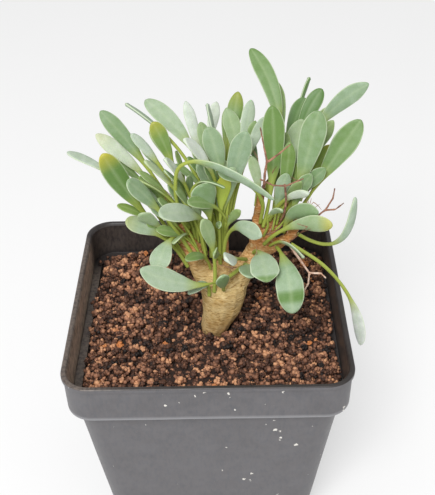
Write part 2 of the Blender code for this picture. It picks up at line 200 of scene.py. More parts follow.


# %% [markdown]
# ## The leaf's skin
# The leaves are fleshy and carry a thin wax bloom, which scatters light and turns fresh green to grey-green.
# Where the bloom is thick they look nearly white. The petiole has no bloom and is yellow-green. The margin is
# a fine pale line, made paler still by a painted highlight along the edge, and a pale line over the midrib is
# a painted highlight. Old leaves yellow from the tip. Each leaf carries those amounts as values on its
# corners, so that one finish serves them all.

# %% Leaf finish
BLOTCH = 2.4 * MM  # width of the cloudy patches in the bloom
WAX_GRAIN = 0.30 * MM  # the wax's mottle is finer than this, and is drawn coarse enough to show
WAX_RELIEF = 0.05 * MM
LEAF_VALUES = ("blade", "edge", "bloom", "yellow", "tip", "rib", "shift")
BLOOM_STOPS = [(0.0, "#55783A"), (0.25, "#708C60"), (0.5, "#8CA285"), (0.75, "#ABB9A8"), (1.0, "#D6DCD5")]


def make_leaf_finish():
    """Waxy living leaf: green under a broken bloom, with a soft sheen and a little light coming through."""
    material, tree, where, values = new_finish("waxy_leaf", LEAF_VALUES)
    blade, edge, bloom, yellow, tip, rib, shift = values
    cloud = add_node(tree, "TexNoise", {"Vector": where, "Scale": 1 / BLOTCH, "Detail": 3.0})
    mottle = add_node(tree, "TexNoise", {"Vector": where, "Scale": 1 / WAX_GRAIN, "Detail": 2.0})
    cloudy = add_node(tree, "MapRange", {0: cloud, 1: 0.3, 2: 0.7, 3: -0.07, 4: 0.07})
    wax = add_node(tree, "Math", {0: bloom, 1: cloudy}, operation="ADD", use_clamp=True)
    waxed = add_node(tree, "ValToRGB", {"Fac": wax})
    set_stops(waxed, BLOOM_STOPS)
    # The edge layer is the pale margin made brighter by a painted highlight along it, and the rib layer is a
    # painted highlight over the midrib.
    tone = layered(tree, waxed, [
        (shift, 0, 1, 0, 0.16, "#9FB06A"), (rib, 0, 1, 0, 1, "#C2CFA8"),
        (edge, 0.88, 0.97, 0, 0.6, "#CFDABB"), (yellow, 0, 1, 0, 1, "#A5B440"),
        (tip, 0, 1, 0, 1, "#BDB23A"), (blade, 0, 1, 1, 0, "#9AA64A")])
    fine = add_node(tree, "MapRange", {0: mottle, 1: 0.3, 2: 0.7, 3: 0.93, 4: 1.06})
    shaded = add_node(tree, "Mix", {0: 1.0, 6: tone, 7: fine}, 2, data_type="RGBA", blend_type="MULTIPLY")
    rough = add_node(tree, "MapRange", {0: wax, 3: 0.42, 4: 0.66})
    bump = add_node(tree, "Bump", {"Height": mottle, "Strength": 0.12, "Distance": WAX_RELIEF})
    skin = add_node(tree, "BsdfPrincipled", {
        "Base Color": shaded, "Roughness": rough, "Normal": bump, "IOR": 1.42, "Specular IOR Level": 0.4,
        "Subsurface Weight": 0.1, "Subsurface Radius": (0.7, 1.0, 0.5), "Subsurface Scale": 1.0 * MM})
    add_node(tree, "OutputMaterial", {"Surface": skin})
    return material


LEAF_FINISH = make_leaf_finish()
print("finish:", LEAF_FINISH.name)

# %% [markdown]
# ## The leaves' shapes
# A CAD leaf is a chain of six-cornered rings from its cut base to one corner at its tip. Counting steps
# from the tip, along the triangles' edges, sorts its corners back into those rings. Each ring gives the
# midrib's place, the blade's width and direction, and its thickness. A finer surface then runs through
# them: round at the tip, slightly cupped, with a shallow groove over the midrib and a soft, uneven margin.


# %% Reading one leaf
RING_CORNERS = 6


def ring_steps(places, triangles):
    """How many edges lie between each pair of corners: the step at which each is first reached."""
    joined = np.zeros((len(places), len(places)), dtype=bool)
    for first, second in ((0, 1), (1, 2), (2, 0)):
        joined[triangles[:, first], triangles[:, second]] = True
        joined[triangles[:, second], triangles[:, first]] = True
    steps = np.where(np.eye(len(places), dtype=bool), 0, -1)
    reached = np.eye(len(places), dtype=bool)
    for step in range(1, len(places)):
        reached = (reached.astype(np.int32) @ joined.astype(np.int32)) > 0
        fresh = reached & (steps < 0)
        if not fresh.any():
            break
        steps[fresh] = step
    return steps


def read_leaf(node):
    """The leaf's stations from base to tip: the midrib's places, the directions of its width, and its half
    widths and half thicknesses. The tip is the corner from which every step reaches a ring of six."""
    places, triangles = merged(node)
    steps = ring_steps(places, triangles)
    counts = (steps[:, :, None] == np.arange(1, steps.max() + 1)).sum(axis=1)
    tip = next(number for number, row in enumerate(counts) if set(row[row > 0]) == {RING_CORNERS})
    middle, side, half, thick = [], [], [], []
    for step in range(steps[tip].max(), 0, -1):
        ring = places[steps[tip] == step]
        apart = np.linalg.norm(ring[:, None] - ring[None], axis=-1)
        first, second = np.unravel_index(apart.argmax(), apart.shape)
        across = (ring[first] - ring[second]) / apart.max()
        if side and across @ side[-1] < 0:
            across = -across
        centre = ring.mean(axis=0)
        off = ring - centre
        off = off - np.outer(off @ across, across)
        middle.append(centre)
        side.append(across)
        half.append(apart.max() / 2)
        thick.append(np.linalg.norm(off, axis=1).max() / math.sin(math.tau / RING_CORNERS))
    middle.append(places[tip])
    side.append(side[-1])
    half.append(0.0)
    thick.append(0.0)
    return np.array(middle), np.array(side), np.array(half), np.array(thick)


def through(knots, values, wanted):
    """A smooth curve through the values: on each stretch, a cubic that meets its neighbours' slopes."""
    values = np.asarray(values, dtype=float)
    slopes = np.gradient(values, knots, axis=0)
    index = np.clip(np.searchsorted(knots, wanted) - 1, 0, len(knots) - 2)
    width = knots[index + 1] - knots[index]
    part = (wanted - knots[index]) / width
    if values.ndim > 1:
        width, part = width[:, None], part[:, None]
    square, cube = part ** 2, part ** 3
    return ((2 * cube - 3 * square + 1) * values[index] + (cube - 2 * square + part) * width * slopes[index]
            + (3 * square - 2 * cube) * values[index + 1] + (cube - square) * width * slopes[index + 1])


# %% [markdown]
# ### How old and how waxy each leaf is
# No two leaves match. The bloom runs from none, on fresh or rubbed leaves, to thick and nearly white. A few
# leaves have yellowed as a whole or from the tip, and two low ones have lost a patch of wax near the end.

# %% Leaf tones
BLOOM = {
    0.00: "04 11 19 25 28 33", 0.12: "20 24 26 27 32 48", 0.30: "03 06 07 31 34 47 50 53",
    0.45: "05 17 22 29 36 39 49 51", 0.60: "08 09 16 30 37 40 41 42 43 44 46", 0.75: "01 10 12 21 23 45",
    0.92: "02 13 14 15 18 35 38 52",
}
BLOOM_OF = {f"leaf_{number}": level for level, numbers in BLOOM.items() for number in numbers.split()}
YELLOWED = {  # share over the whole blade, and at the tip
    "leaf_02": (0.1, 0.2), "leaf_04": (0.0, 0.8), "leaf_06": (0.3, 0.0), "leaf_07": (0.35, 0.0),
    "leaf_11": (0.1, 0.5), "leaf_12": (0.25, 0.0), "leaf_19": (0.05, 0.35), "leaf_20": (0.1, 0.0),
    "leaf_30": (0.15, 0.0), "leaf_33": (0.35, 0.9), "leaf_36": (0.1, 0.55), "leaf_44": (0.0, 0.35),
    "leaf_48": (0.85, 0.4), "leaf_51": (0.2, 0.0),
}
RUBBED_AT = {"leaf_39": 0.80, "leaf_40": 0.97}  # how far along the leaf the wax is gone
STATIONS = 44
AROUND = 24
MARGIN_WANDER = 0.045  # how far the outline strays, as a share of its half width
GROOVE = 0.3  # depth of the groove over the midrib, as a share of the half thickness
GROOVE_WIDTH = 0.2  # this and the next are shares of the half width
RIB_WIDTH = 0.09
RIB_HIGHLIGHT = 0.16
TIP_CLOSED = 0.9985  # the last ring stops just short of the tip, which is a pole
POINTED_FROM = 0.72  # the blade is drawn in to a point past this share of its length
YELLOW_FROM, YELLOW_OVER = 0.84, 0.14
RUBBED_HALF = 0.055  # half the length of a rubbed patch, as a share of the leaf's
RUBBED_DEPTH = 0.45


# %% Building one leaf
def make_leaf(name, shape, number, replaces=(), bloom=0.5, yellow=(0.0, 0.0), rubbed_at=None):
    """At station s and angle a: midrib + side * half * cos(a) + face * (thick * sin(a) - groove + cup), where
    the groove falls off with distance from the midrib and the cup lifts both margins by the square of it.
    Towards the tip the half width is drawn in by up to `point` times the square of the way past
    POINTED_FROM."""
    middle, side, half, thick = shape
    rng = np.random.default_rng(1000 + number)
    gone = np.concatenate([[0.0], np.cumsum(np.linalg.norm(np.diff(middle, axis=0), axis=1))])
    share = (1 - np.cos(np.linspace(0, math.pi, STATIONS))) / 2
    share = 0.45 * share + 0.55 * np.linspace(0, 1, STATIONS)
    share[-1] = TIP_CLOSED
    at = share * gone[-1]
    midrib = through(gone, middle, at)
    forward = np.gradient(midrib, at, axis=0)
    forward /= np.linalg.norm(forward, axis=1)[:, None]
    width = np.sqrt(np.clip(through(gone, half ** 2, at), 0, None))
    depth = np.sqrt(np.clip(through(gone, thick ** 2, at), 0, None))
    across = through(gone, side, at)
    across -= forward * (across * forward).sum(axis=1)[:, None]
    across /= np.linalg.norm(across, axis=1)[:, None]
    face = np.cross(across, forward)
    if face[:, 2].mean() < 0:
        across, face = -across, -face
    blade = np.maximum.accumulate(np.clip((width - half[0]) / (half.max() * 0.5), 0, 1))
    angle = np.arange(AROUND) / AROUND * math.tau
    out, up = np.cos(angle), np.sin(angle)
    start = share[np.argmax(blade > 0.02)]
    late = np.clip(((share - start) / (1 - start) - POINTED_FROM) / (1 - POINTED_FROM), 0, 1)
    point = rng.uniform(0.1, 0.42)
    wander = noise(np.column_stack([share * 8, np.full(STATIONS, number), np.zeros(STATIONS)]), 1.0)
    width = width * (1 + MARGIN_WANDER * wander * blade) * (1 - point * late ** 2)
    cup = rng.uniform(-0.02, 0.2) * width * blade
    groove = GROOVE * depth * blade * np.clip(1.3 - share, 0, 1)
    lift = (depth[:, None] * up - groove[:, None] * np.exp(-(out / GROOVE_WIDTH) ** 2) * (up > -0.1)
            + cup[:, None] * (out ** 2 - 0.35))
    aside = (width[:, None] * out)[..., None]
    places = midrib[:, None] + across[:, None] * aside + face[:, None] * lift[..., None]
    places = np.concatenate([places.reshape(-1, 3), middle[:1], middle[-1:]])
    spread = noise(np.column_stack([share * 5, np.full(STATIONS, number + 0.5), np.ones(STATIONS)]), 1.0)
    rubbed = 0.0
    if rubbed_at:
        rubbed = RUBBED_DEPTH * np.clip(1.6 - np.abs(share - rubbed_at) / RUBBED_HALF, 0, 1)
    rows = {
        "blade": blade, "bloom": np.clip(bloom - rubbed + rng.uniform(-0.04, 0.04) + 0.06 * spread, 0, 1),
        "tip": yellow[1] * np.clip((share - YELLOW_FROM + 0.04 * spread) / YELLOW_OVER, 0, 1),
        "yellow": np.clip(yellow[0] * (0.6 + 0.5 * share), 0, 1),
        "shift": np.full(STATIONS, rng.uniform(0, 1)),
    }
    values = {key: np.concatenate([np.repeat(row, AROUND), row[[0, -1]]]) for key, row in rows.items()}
    # edge and rib mark where the finish paints highlights: along the pale margin and over the midrib
    values["edge"] = np.concatenate([np.tile(np.abs(out), STATIONS), [0.0, 1.0]])
    rib = np.exp(-(out / RIB_WIDTH) ** 2) * (up > 0) * RIB_HIGHLIGHT
    values["rib"] = np.concatenate([np.tile(rib, STATIONS), [0.0, 0.0]])
    return add_piece(name, places, capped_faces(STATIONS, AROUND), LEAF_FINISH, replaces, values)


leaf_names = sorted(name for name in NODES if name.startswith("leaf_"))
shapes = {name: read_leaf(name) for name in leaf_names}
for number, name in enumerate(leaf_names):
    make_leaf(name + "_living", shapes[name], number, [name], BLOOM_OF.get(name, 0.5),
              YELLOWED.get(name, (0.0, 0.0)), RUBBED_AT.get(name))
print("leaves:", len(leaf_names))

# %% [markdown]
# ### The small leaves between the large ones
# The shoots are crowded with younger leaves that the large ones half hide. Each is worked out from two
# neighbours that leave the shoot close together: its midrib runs midway between theirs, and it is shorter
# and narrower. One that would come too close to a leaf already there is left out. Its foot is moved on to
# the nearest bark.


# %% Young leaves
YOUNG_LEAVES = 70
YOUNG_GAP = 1.2 * MM  # least distance from a young leaf's midrib to another's
FEET_WITHIN = 20 * MM  # neighbours leave the shoot this close together
TIPS_APART = (5 * MM, 42 * MM)  # and their tips are this far from each other
FOOT_SHIFT = 8 * MM  # the furthest that a foot is moved on to the bark
FORK_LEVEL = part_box("pot")[1][2] + 11 * MM  # young leaves grow only above the trunk's fork
bark_places, bark_triangles = merged("plant_body")
BARK_TREE = BVHTree.FromPolygons(bark_places.tolist(), bark_triangles.tolist())


def crowded(middle, others):
    """Whether the outer part of this midrib comes too close to the outer part of any other."""
    near = np.linalg.norm(middle[3:, None] - others[None, :, 3:].reshape(1, -1, 3), axis=-1)
    return near.min() < YOUNG_GAP


def young_shapes(rng):
    """Shapes halfway between neighbours, shortened towards the foot, which is drawn on to the bark."""
    names = list(shapes)
    middles = np.array([shapes[name][0] for name in names])
    foot_gap = np.linalg.norm(middles[:, None, 0] - middles[None, :, 0], axis=-1)
    tip_gap = np.linalg.norm(middles[:, None, -1] - middles[None, :, -1], axis=-1)
    apart = (tip_gap > TIPS_APART[0]) & (tip_gap < TIPS_APART[1])
    first, second = np.nonzero((foot_gap < FEET_WITHIN) & apart)
    pairs = [pair for pair in zip(first, second) if pair[0] < pair[1]]
    rng.shuffle(pairs)
    made = []
    for one, two in pairs:
        lean = rng.uniform(0.35, 0.65)
        mixed = [a * (1 - lean) + b * lean for a, b in zip(shapes[names[one]], shapes[names[two]])]
        short = rng.uniform(0.55, 0.9)
        middle = mixed[0][:1] + (mixed[0] - mixed[0][:1]) * short
        foot = np.array(BARK_TREE.find_nearest(Vector(middle[0]))[0])
        if np.linalg.norm(foot - middle[0]) > FOOT_SHIFT:
            continue
        fade = np.linspace(1, 0, len(middle))[:, None] ** 2
        middle = middle + (foot - middle[0]) * fade
        if crowded(middle, middles) or foot[2] < FORK_LEVEL:
            continue
        side = mixed[1] / np.linalg.norm(mixed[1], axis=1)[:, None]
        made.append((middle, side, mixed[2] * short * rng.uniform(0.75, 1.0), mixed[3] * 0.85))
        middles = np.concatenate([middles, middle[None]])
        if len(made) == YOUNG_LEAVES:
            break
    return made


leaf_rng = np.random.default_rng(21)
young = young_shapes(leaf_rng)
for number, shape in enumerate(young):
    bloom = leaf_rng.uniform(0.05, 0.6)
    make_leaf(f"young_leaf_{number + 1:02d}", shape, 100 + number, (), bloom,
              (leaf_rng.uniform(0, 0.25), 0.0))
print("young leaves:", len(young))

# %% [markdown]
# ## Bark
# The trunk is soft wood under a thin tan skin that wrinkles into fine, nearly level creases as it swells and
# shrinks. Shoots start brown and scarred where leaves have dropped. The piece is a union of limbs, so no
# single grid can follow it: a merged copy is remeshed finely and smoothed, and its corners are then pushed in
# and out as one array. The creases follow height, bent by slow noise.

# %% Bark finish
CREASE = 0.75 * MM  # distance from one crease to the next
FLAKE = 0.45 * MM  # width of the skin's small flakes
FLAKE_RELIEF = 0.22 * MM
BARK_PATCH = 4.0 * MM
BED_DARKENING_RISE = 9.0 * MM  # how far above the bed the bark is drawn darker
TRUNK_LOW, TRUNK_TOP = (corner[2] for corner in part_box("plant_body"))
YOUNG_FROM = TRUNK_LOW + 0.56 * (TRUNK_TOP - TRUNK_LOW)  # the bark turns brown between these two levels
YOUNG_TO = TRUNK_LOW + 0.74 * (TRUNK_TOP - TRUNK_LOW)


def make_bark_finish():
    """Dry corky skin: tan low down, brown on the young shoots, darker in the creases as painted shade, nearly
    without shine.
    """
    material, tree, where, (crease,) = new_finish("corky_bark", ["crease"])
    high = add_node(tree, "SeparateXYZ", {0: where}, "Z")
    squash = add_node(tree, "Mapping", {"Vector": where, "Scale": (0.3, 0.3, 1.0)})
    flake = add_node(tree, "TexNoise", {
        "Vector": squash, "Scale": 1 / FLAKE, "Detail": 4.0, "Distortion": 0.6})
    patch = add_node(tree, "TexNoise", {"Vector": where, "Scale": 1 / BARK_PATCH, "Detail": 3.0})
    brown = layered(tree, "#96683A", [(patch, 0.4, 0.6, 0, 1, "#C4824C")])
    # the bark is drawn darker just above the bed, and this fades out upwards
    soil_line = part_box("soil")[1][2]
    # painted shade: the crease layer darkens the creases; the scars, which share its mask, take it as their
    # own darker colour
    tone = layered(tree, "#BC9B60", [
        (patch, 0.35, 0.65, 0, 1, "#D4BA83"), (high, YOUNG_FROM, YOUNG_TO, 0, 1, brown),
        (flake, 0.5, 0.72, 0, 0.6, "#E6D2A4"), (flake, 0.46, 0.3, 0, 0.85, "#7E5C30"),
        (crease, 0.3, 1, 0, 0.55, "#7E5C32"), (high, soil_line, soil_line + BED_DARKENING_RISE, 0.6, 0, "#855F38")])
    bump = add_node(tree, "Bump", {"Height": flake, "Strength": 0.9, "Distance": FLAKE_RELIEF})
    skin = add_node(tree, "BsdfPrincipled", {
        "Base Color": tone, "Roughness": 0.8, "Normal": bump, "IOR": 1.45, "Specular IOR Level": 0.25})
    add_node(tree, "OutputMaterial", {"Surface": skin})
    return material


BARK_FINISH = make_bark_finish()


# %% A finely remeshed copy
def fine_copy(node, cell, rounds):
    """The node's merged copy, remeshed in cells of this size and smoothed, as corner and face arrays with
    each corner's outward direction."""
    places, triangles = merged(node)
    mesh = bpy.data.meshes.new("draft")
    mesh.from_pydata(places.tolist(), [], triangles.tolist())
    draft = bpy.data.objects.new("draft", mesh)
    bpy.context.scene.collection.objects.link(draft)
    step = draft.modifiers.new("cells", "REMESH")
    step.mode = "VOXEL"
    step.voxel_size = cell
    soften = draft.modifiers.new("soften", "SMOOTH")
    soften.factor = 0.5
    soften.iterations = rounds
    made = draft.evaluated_get(bpy.context.evaluated_depsgraph_get()).to_mesh()
    count = len(made.vertices)
    found = np.empty(count * 3)
    outward = np.empty(count * 3)
    made.vertices.foreach_get("co", found)
    made.vertices.foreach_get("normal", outward)
    faces = [list(face.vertices) for face in made.polygons]
    bpy.data.objects.remove(draft, do_unlink=True)
    bpy.data.meshes.remove(mesh)
    return found.reshape(-1, 3), outward.reshape(-1, 3), faces


# %% The trunk and shoots
BARK_CELL = 0.25 * MM
CREASE_DEPTH = 0.16 * MM
BEND, WAVER, BREAK = 2.2 * MM, 0.9 * MM, 3.0 * MM  # over what length creases bend, waver and break off
LUMP, DIMPLE, SCAR = 4.5 * MM, 1.6 * MM, 1.7 * MM
SCAR_HEIGHT = 0.45 * MM
SCARRED_FROM = 88 * MM  # scars of dropped leaves come in above this level
SCARS_OVER = 6 * MM


def make_trunk():
    """Each corner moves along its outward direction by lumps minus creases. A crease's depth is the sixth
    power of a cosine of height over the crease spacing, so that it is narrow, and noise bends and breaks
    it. Scars are raised where another noise is high, on the shoots only."""
    places, outward, faces = fine_copy("plant_body", BARK_CELL, 8)
    bend = noise(places * [0.5, 0.5, 1.0], BEND, 3) * 0.9 + noise(places, WAVER, 4) * 0.35
    wave = np.cos((places[:, 2] / CREASE + bend) * math.pi)
    broken = np.clip(0.55 + 0.6 * noise(places * [1.0, 1.0, 2.0], BREAK, 5), 0, 1)
    crease = wave ** 6 * broken
    lumps = (0.22 * noise(places, LUMP, 6) + 0.10 * noise(places, DIMPLE, 7)) * MM
    scar = np.clip(noise(places, SCAR, 8) - 0.35, 0, 1)
    scar = scar * np.clip((places[:, 2] - SCARRED_FROM) / SCARS_OVER, 0, 1)
    moved = places + outward * (lumps - CREASE_DEPTH * crease + SCAR_HEIGHT * scar)[:, None]
    # the crease mask carries the painted shade in the creases and the scars' own darker colour
    values = {"crease": np.clip(crease + 1.5 * scar, 0, 1)}
    return add_piece("trunk_and_shoots", moved, faces, BARK_FINISH, ["plant_body"], values)


trunk = make_trunk()
print("trunk faces:", len(trunk.data.polygons))

# %% [markdown]
# ## Dry flower stalks
# Last season's flower stalks have dried to thin, forked, pinkish-brown twigs. They are too thin for creases
# to show, so they get the same fine copy, a slight knobbliness, and a matt woody finish. Their CAD solids
# stop a little short of the trunk, so each foot is drawn on to the bark.


# %% Stalks
STEM_PATCH = 2.0 * MM


def make_stalk_finish():
    """Dead herbaceous stem: papery and matt, red-brown where it is recent and bleached where it is old."""
    material, tree, where, (bleached,) = new_finish("dry_stem", ["bleached"])
    patch = add_node(tree, "TexNoise", {"Vector": where, "Scale": 1 / STEM_PATCH, "Detail": 3.0})
    old = layered(tree, "#C79C82", [(patch, 0.38, 0.62, 0, 1, "#EBD3C0")])
    tone = layered(tree, "#5E3A2E", [(patch, 0.38, 0.62, 0, 1, "#A26E54"), (bleached, 0, 1, 0, 1, old)])
    skin = add_node(tree, "BsdfPrincipled", {"Base Color": tone, "Roughness": 0.8, "IOR": 1.45})
    add_node(tree, "OutputMaterial", {"Surface": skin})
    return material


STALK_FINISH = make_stalk_finish()
STALK_CELL = 0.12 * MM
KNOB, KNOB_GAP = 0.10 * MM, 0.9 * MM
FOOT_REACH = 6 * MM  # how far up the stalk its foot's move is felt
FOOT_SUNK = 1.3  # the foot's move, as a share of its gap to the bark
HANGS_LOW = 25 * MM  # a stalk that stays this close above the lip has lain longest


def make_stalk(name):
    """Each corner moves outwards by noise, which leaves the stem slightly knobbly. The foot is drawn on to
    the nearest bark, and the move fades out by the square of the way along. A low stalk is bleached."""
    places, outward, faces = fine_copy(name, STALK_CELL, 2)
    moved = places + outward * (noise(places, KNOB_GAP, 9) * KNOB)[:, None]
    nearest = [BARK_TREE.find_nearest(Vector(place)) for place in moved]
    foot = int(np.argmin([found[3] for found in nearest]))
    missing = np.array(nearest[foot][0]) - moved[foot]
    fade = np.clip(1 - np.linalg.norm(moved - moved[foot], axis=1) / FOOT_REACH, 0, 1)[:, None] ** 2
    moved = moved + fade * missing * FOOT_SUNK
    print(name, "foot drawn in by", round(np.linalg.norm(missing) / MM, 2), "mm")
    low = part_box(name)[1][2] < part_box("pot")[1][2] + HANGS_LOW
    values = {"bleached": np.full(len(places), 0.85 if low else 0.1)}
    return add_piece(name + "_dry", moved, faces, STALK_FINISH, [name], values)


stalks = [make_stalk(name) for name in sorted(NODES) if name.startswith("stalk_")]
print("stalks:", len(stalks))

# %% [markdown]
# ### Broken twigs
# Between the leaves stand the stumps of older flower stalks, thinner and shorter. Each is a round section
# carried along a bent path, with a fork near its end. They start on the bark, at corners of the CAD trunk
# chosen by chance among those high on the shoots.

# %% Twigs
TWIGS = 26
TWIG_RADIUS = 0.2 * MM
TWIG_STEPS = 12
TWIG_SIDES = 8
TWIG_LENGTH = (7, 15)  # these two in millimetres
ARM_LENGTH = (2, 5)
TWIG_FORKS = [5, 7, TWIG_STEPS - 1, TWIG_STEPS - 1]  # the steps at which an arm may leave


def limb(path, radius):
    """A closed round tube: at step s and angle a, path + radius * (u cos(a) + v sin(a)), with u and v square
    to the path. The radius falls to half at the end."""
    forward = np.gradient(path, axis=0)
    forward /= np.linalg.norm(forward, axis=1)[:, None]
    u = np.cross(forward, [0.31, 0.95, 0.0])
    u /= np.linalg.norm(u, axis=1)[:, None]
    v = np.cross(forward, u)
    angle = np.arange(TWIG_SIDES) / TWIG_SIDES * math.tau
    taper = np.linspace(1, 0.5, len(path))[:, None, None] * radius
    ring = u[:, None] * np.cos(angle)[None, :, None] + v[:, None] * np.sin(angle)[None, :, None]
    places = (path[:, None] + ring * taper).reshape(-1, 3)
    return np.concatenate([places, path[:1], path[-1:]]), capped_faces(len(path), TWIG_SIDES)


def make_twig(name, foot, heading, rng):
    """A main limb, and two or three arms that leave it at its end and partway. Each path is a straight run
    bent by a parabola, foot + heading * s + sag * s squared."""
    share = np.linspace(0, 1, TWIG_STEPS)[:, None]
    length = rng.uniform(*TWIG_LENGTH) * MM
    sag = rng.normal(0, 1.8, 3) * MM
    main = foot + heading * length * share + sag * share ** 2
    paths = [(main, TWIG_RADIUS)]
    for start in rng.choice(TWIG_FORKS, rng.integers(2, 4), replace=False):
        arm = heading * 0.7 + rng.normal(0, 0.55, 3)
        arm /= np.linalg.norm(arm)
        bend = rng.normal(0, 0.5, 3) * MM
        limb_path = main[start] + arm * rng.uniform(*ARM_LENGTH) * MM * share + bend * share ** 2
        paths.append((limb_path, TWIG_RADIUS * 0.7))
    places, faces = [], []
    for path, radius in paths:
        found, joined = limb(path, radius)
        before = sum(len(part) for part in places)
        places.append(found)
        faces += [[corner + before for corner in face] for face in joined]
    places = np.concatenate(places)
    values = {"bleached": np.full(len(places), rng.uniform(0, 0.35))}
    return add_piece(name, places, faces, STALK_FINISH, (), values)


twig_rng = np.random.default_rng(5)
high_bark = bark_places[bark_places[:, 2] > TRUNK_LOW + 0.55 * (TRUNK_TOP - TRUNK_LOW)]
bark_middle = high_bark.mean(axis=0)
for number, foot in enumerate(twig_rng.permutation(high_bark)[:TWIGS]):
    heading = (foot - bark_middle) / np.linalg.norm(foot - bark_middle) * 0.7 + [0, 0, 1.0]
    heading = heading / np.linalg.norm(heading) + twig_rng.normal(0, 0.22, 3)
    make_twig(f"twig_{number + 1:02d}", foot, heading / np.linalg.norm(heading), twig_rng)
print("twigs:", TWIGS)

# %% [markdown]
# ## The pot
# The pot is injection-moulded polypropylene, about 1.2 mm thick, with a rolled lip, a wide band below it
# and an inside ledge. Its section is measured on the CAD pot by casting rays at the wall, every corner of
# the section is rounded as a mould rounds it, and the section is carried around a rounded square.


# %% Measuring the section
def caster(node):
    """A function that gives where a ray first meets the node."""
    places, triangles = merged(node)
    tree = BVHTree.FromPolygons(places.tolist(), triangles.tolist())

    def cast(start, towards):
        hit = tree.ray_cast(Vector(start), Vector(towards).normalized())[0]
        return hit

    return cast


POT_ROUNDING = 0.45 * MM
NEAR = 0.02 * MM  # just above or below a level
OUTSIDE = 0.2  # a place well clear of the pot
NOT_AN_END = 5 * MM  # the band and the ledge are further than this from floor and lip
POT_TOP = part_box("pot")[1][2]
pot_levels = np.unique(merged("pot")[0][:, 2].round(6))


def wall_section():
    """The wall's section as rows of half width, corner radius and height: up the outside, then down the
    inside. The reach along the diagonal gives the radius: reach = (half - radius) * root 2 + radius."""
    cast = caster("pot")
    outside, inside = [], []
    for low, high in zip(pot_levels, pot_levels[1:]):
        if high - low < 3 * NEAR:
            continue
        for height in (low + NEAR, high - NEAR):
            half = cast((OUTSIDE, 0, height), (-1, 0, 0)).x
            reach = math.hypot(*cast((OUTSIDE, OUTSIDE, height), (-1, -1, 0))[:2])
            outside.append((half, corner_radius(half, reach), height))
            inner = cast((0, 0, height), (1, 0, 0))
            if inner is not None and inner.x < half - NEAR:
                reach = math.hypot(*cast((0, 0, height), (1, 1, 0))[:2])
                inside.append((inner.x, corner_radius(inner.x, reach), height))
    return np.array(outside), np.array(inside[::-1])


def corner_radius(half, reach):
    """The radius of a square's rounded corner, from half its width and its reach along the diagonal."""
    return (math.sqrt(2) * half - reach) / (math.sqrt(2) - 1)


def sharpest_step(rows):
    """The row after which the half width changes most for the height it covers, between floor and lip."""
    slope = np.abs(np.diff(rows[:, 0])) / (np.abs(np.diff(rows[:, 2])) + NEAR)
    middle = (rows[1:, 2] > NOT_AN_END) & (rows[1:, 2] < POT_TOP - NOT_AN_END)
    return int(np.argmax(slope * middle))


outside, inside = wall_section()
print("section rows outside and inside:", len(outside), len(inside))


# %% Rounding and carrying the section
def simple_section(rows):
    """The rows without those that lie on the straight line between their neighbours."""
    kept = [rows[0]]
    for row, after in zip(rows[1:], rows[2:]):
        one, two = row[[0, 2]] - kept[-1][[0, 2]], after[[0, 2]] - row[[0, 2]]
        turn = abs(one[0] * two[1] - one[1] * two[0])
        if np.linalg.norm(one) > 2 * NEAR and turn > 1e-3 * np.linalg.norm(one) * np.linalg.norm(two):
            kept.append(row)
    kept.append(rows[-1])
    return np.array(kept)


def rounded_section(rows, radius, steps=4):
    """Each corner b inside the section becomes a short curve, (1-t)^2 a + 2t(1-t) b + t^2 c. The points a and
    c lie a radius away along both edges, or less on a short edge."""
    before, corner, after = rows[:-2], rows[1:-1], rows[2:]
    back, on = before - corner, after - corner
    back_length = np.linalg.norm(back, axis=1)[:, None]
    on_length = np.linalg.norm(on, axis=1)[:, None]
    first = corner + back / back_length * np.minimum(radius, 0.45 * back_length)
    last = corner + on / on_length * np.minimum(radius, 0.45 * on_length)
    part = np.linspace(0, 1, steps)[None, :, None]
    curve = ((1 - part) ** 2 * first[:, None] + 2 * part * (1 - part) * corner[:, None]
             + part ** 2 * last[:, None])
    return np.concatenate([rows[:1], curve.reshape(-1, 3), rows[-1:]])


def square_pattern(arc_steps, side_steps):
    """Two arrays for a unit rounded square: where each point's corner centre lies, and its way out from
    there. A point is then centre * (half - radius) + way * radius."""
    centres, ways = [], []
    for quarter in range(4):
        turn = math.radians(90 * quarter)
        angle = turn + np.linspace(0, math.pi / 2, arc_steps)
        centre = np.array([math.cos(turn) - math.sin(turn), math.sin(turn) + math.cos(turn)])
        centres.append(np.repeat(centre[None], arc_steps, axis=0))
        ways.append(np.column_stack([np.cos(angle), np.sin(angle)]))
        after = np.array([-centre[1], centre[0]])
        part = np.linspace(0, 1, side_steps + 2)[1:-1, None]
        centres.append(centre + (after - centre) * part)
        ways.append(np.repeat(ways[-1][-1:], side_steps, axis=0))
    return np.concatenate(centres), np.concatenate(ways)


# %% [markdown]
# ### Polypropylene
# The black pigment is never quite black in daylight: the moulded skin is satin, and its outside is painted
# grey as the reflection of the bright floor, while the inside and the lip's top stay nearly black. A film of
# clay dust greys it, most of all inside on the left, where water has run down and left it. Handling has
# scratched it finely, a painted highlight runs along the band's lower edge, and a few small pale specks lie
# on the outside.

# %% Pot finish
SCUFF = 6.0 * MM
STREAK = 1.1 * MM  # water marks, drawn out upwards
STREAK_RELIEF = 0.05 * MM
SPECK_SPACING = 2.4 * MM
SPECK_GROUP = 8.0 * MM
RAGGED = 1.6 * MM  # how far a speck's outline strays
RAGGED_GRAIN = 0.7 * MM
SPECK_REACH = 0.34  # radius of the largest speck, as a share of the spacing
SPECKED_FROM, SPECKED_TO = -25 * MM, 30 * MM  # specks grow in size between these, from left to right


